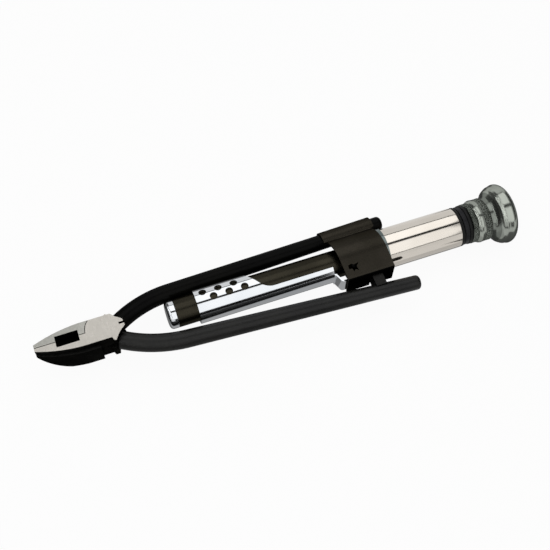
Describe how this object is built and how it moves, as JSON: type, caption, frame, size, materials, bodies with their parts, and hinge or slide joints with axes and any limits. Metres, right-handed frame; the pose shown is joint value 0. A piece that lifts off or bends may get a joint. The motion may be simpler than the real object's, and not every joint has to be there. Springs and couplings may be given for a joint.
{
  "type": "safety wire twisting pliers",
  "caption": "Lock-wire pliers with lap-jointed jaws, dipped handles, a sliding handle lock and a pull knob whose spiral rod spins the tool to twist wire.",
  "frame": {"origin": "On the pivot axis, at the flat underside of the head, where the head rests on a bench.", "axes": "+X runs along the tool from the pivot to the pull knob, +Z is the pivot axis, up through the ground face, +Y points to the fixed handle that carries the bracket."},
  "size_m": [0.2279, 0.0432, 0.029],
  "materials": {
    "head_steel": "forged, black oxide on the sides, face ground bright and nickel coloured",
    "plain_steel": "turned and drawn steel",
    "grip_black": "satin black dipped coating",
    "black_sheet": "satin black finish on stamped sheet",
    "zinc_collar": "blue-grey zinc plate",
    "barrel_paint": "dark olive paint",
    "bright_chrome": "bright chrome plate",
    "nickel_tube": "polished warm nickel",
    "bronze": "oiled bearing bronze",
    "bumper_rubber": "black rubber",
    "band_grey": "dark grey moulded spacer",
    "knob_zinc": "turned, knurled and zinc plated, greenish grey"
  },
  "bodies": {
    "frame": {"front_half": "head_steel", "pivot_rivet": "plain_steel", "upper_grip": "grip_black", "bracket": "black_sheet", "tube_collar": "zinc_collar", "barrel": "barrel_paint", "barrel_cap": "bright_chrome", "housing_tube": "nickel_tube", "front_bush": "bronze", "clutch_race": "plain_steel", "clutch_rollers": "plain_steel", "drive_nut": "bronze", "thrust_washers": "plain_steel", "rear_bush": "bronze", "tube_bumper": "bumper_rubber"},
    "lower_lever": {"rear_half": "head_steel", "lower_grip": "grip_black", "lock_catch": "black_sheet", "catch_keeper": "black_sheet", "catch_rivets": "plain_steel"},
    "lock": {"lock_slide": "bright_chrome"},
    "spring_carrier": {"spring_cup": "plain_steel", "return_spring": "plain_steel"},
    "spindle": {"spiral_rod": "plain_steel", "rod_collar": "plain_steel", "knob_band": "band_grey", "knob_bumper": "bumper_rubber", "knob": "knob_zinc", "knob_screw": "plain_steel"}
  },
  "joints": [
    {"name": "jaw_pivot", "type": "hinge", "parent": "frame", "child": "lower_lever", "pos_m": [0, 0, 0.0075], "axis": [0, 0, -1], "range_deg": [0, 20]},
    {"name": "lock_travel", "type": "slide", "parent": "frame", "child": "lock", "axis": [1, 0, 0], "range_m": [0, 0.0035]},
    {"name": "knob_pull", "type": "slide", "parent": "frame", "child": "spring_carrier", "axis": [1, 0, 0], "range_m": [0, 0.052], "stiffness_N_per_m": 100, "springref_m": -0.03, "deforming": ["return_spring"]},
    {"name": "knob_turn", "type": "hinge", "parent": "spring_carrier", "child": "spindle", "pos_m": [0.048, 0, 0.0075], "axis": [1, 0, 0], "range_deg": [0, 521]}
  ],
  "couplings": [
    {"joint": "knob_turn", "follows": "knob_pull", "rad_per_m": 174.53}
  ]
}
